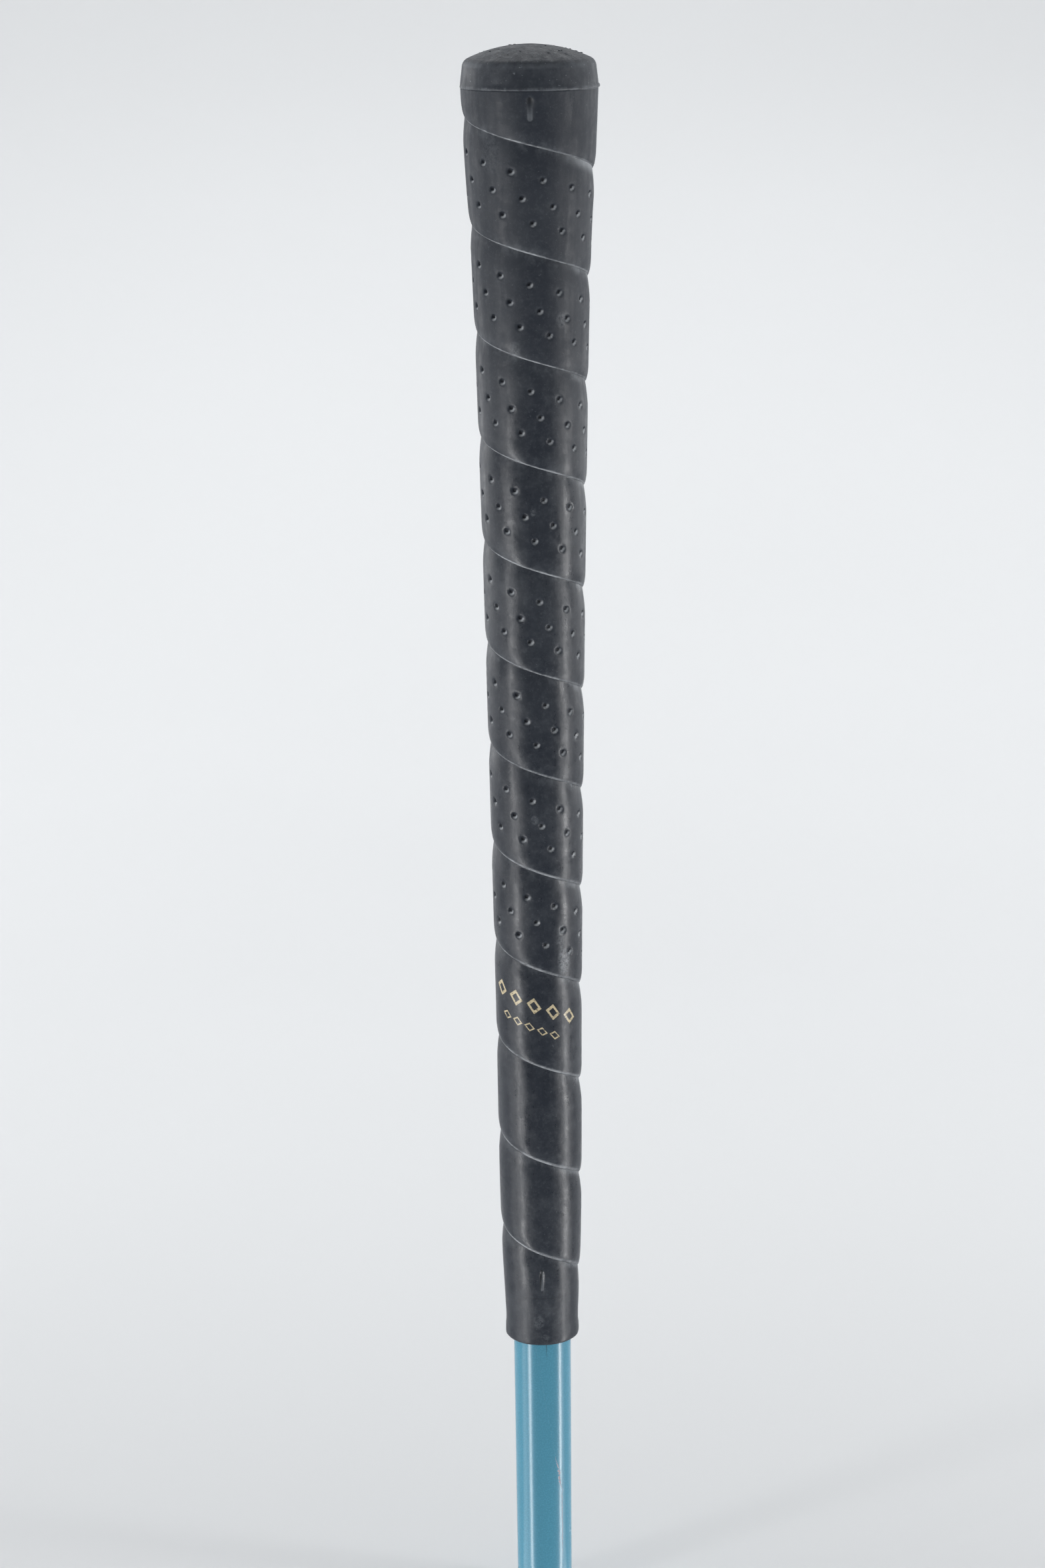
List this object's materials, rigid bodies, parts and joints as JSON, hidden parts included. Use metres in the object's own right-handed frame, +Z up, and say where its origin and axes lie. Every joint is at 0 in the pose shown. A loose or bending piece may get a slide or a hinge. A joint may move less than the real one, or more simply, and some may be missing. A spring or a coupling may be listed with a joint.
{
  "type": "golf grip",
  "caption": "Slip-on rubber golf grip with a moulded spiral wrap and domed butt cap, bonded to the tapered butt of a painted shaft tube.",
  "frame": {"origin": "centre of the shaft tube's cut end", "axes": "+Z up the shaft to the cap, -Y the front with the two alignment marks, +X to the right of it"},
  "size_m": [0.0274, 0.0274, 0.3304],
  "materials": {
    "sleeve_rubber": "satin moulded rubber",
    "cap_rubber": "matte, worn and dusty on top",
    "tape": "paper tape",
    "shaft_paint": "gloss paint over a composite tube"
  },
  "bodies": {
    "root": {"grip_sleeve": "sleeve_rubber", "butt_cap": "cap_rubber", "grip_tape": "tape", "shaft_tube": "shaft_paint"}
  },
  "joints": []
}
